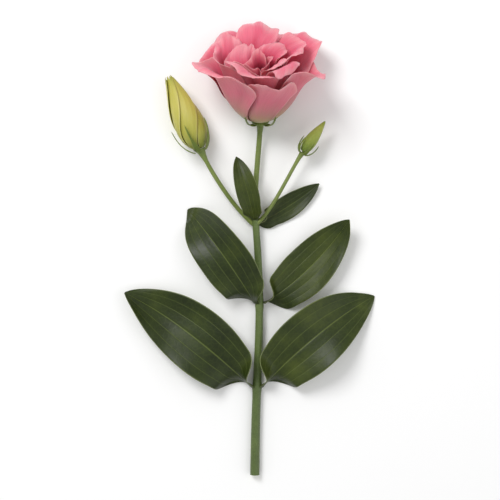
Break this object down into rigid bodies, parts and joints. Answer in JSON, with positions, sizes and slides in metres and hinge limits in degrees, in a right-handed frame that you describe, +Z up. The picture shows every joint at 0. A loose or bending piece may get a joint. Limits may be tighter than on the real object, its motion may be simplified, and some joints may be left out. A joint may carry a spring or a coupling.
{
  "type": "lisianthus flower",
  "caption": "Cut lisianthus stem with an open double pink bloom, a closed green bud, a small young bud and pointed grey-green leaves, lying on its side.",
  "frame": {"origin": "centre of the bounding box at its bottom face, on the surface that the cut stem lies on", "axes": "+Y along the stem from its cut end towards the open bloom, +Z up from the surface, +X to the right seen from above"},
  "size_m": [0.1438, 0.2576, 0.053],
  "materials": {
    "outer_petal": "soft satin, pale pink shading to greenish cream at the foot",
    "inner_petal": "soft satin pink, deeper towards the foot",
    "heart_petal": "soft satin deep pink",
    "bud_petal": "waxy pale yellow green with darker veins",
    "young_bud": "waxy yellow green",
    "calyx": "matt green",
    "stamen": "matt cream yellow",
    "leaf": "satin grey green with a bloom of wax",
    "stem": "satin green"
  },
  "bodies": {
    "root": {"bud_lobe_1": "calyx", "bud_lobe_2": "calyx", "bud_lobe_3": "calyx", "bud_lobe_4": "calyx", "bud_lobe_5": "calyx", "bud_petal_1": "bud_petal", "bud_petal_2": "bud_petal", "bud_petal_3": "bud_petal", "bud_petal_4": "bud_petal", "bud_petal_5": "bud_petal", "calyx_lobe_1": "calyx", "calyx_lobe_2": "calyx", "calyx_lobe_3": "calyx", "calyx_lobe_4": "calyx", "calyx_lobe_5": "calyx", "flower_stalk": "stem", "fourth_petal_1": "heart_petal", "fourth_petal_2": "heart_petal", "fourth_petal_3": "heart_petal", "guard_petal_1": "outer_petal", "guard_petal_2": "outer_petal", "guard_petal_3": "outer_petal", "guard_petal_4": "outer_petal", "guard_petal_5": "outer_petal", "heart_petal_1": "heart_petal", "heart_petal_2": "heart_petal", "heart_petal_3": "heart_petal", "large_bud_stalk": "stem", "lower_leaf_left": "leaf", "lower_leaf_right": "leaf", "main_stem": "stem", "middle_leaf_left": "leaf", "middle_leaf_right": "leaf", "pistil": "stamen", "receptacle": "calyx", "second_petal_1": "inner_petal", "second_petal_2": "inner_petal", "second_petal_3": "inner_petal", "second_petal_4": "inner_petal", "second_petal_5": "inner_petal", "small_bud": "young_bud", "small_bud_lobe_1": "calyx", "small_bud_lobe_2": "calyx", "small_bud_lobe_3": "calyx", "small_bud_lobe_4": "calyx", "small_bud_lobe_5": "calyx", "small_bud_stalk": "stem", "stamen_1": "stamen", "stamen_2": "stamen", "stamen_3": "stamen", "stamen_4": "stamen", "stamen_5": "stamen", "third_petal_1": "inner_petal", "third_petal_2": "inner_petal", "third_petal_3": "inner_petal", "third_petal_4": "inner_petal", "upper_leaf_left": "leaf", "upper_leaf_right": "leaf"}
  },
  "joints": []
}
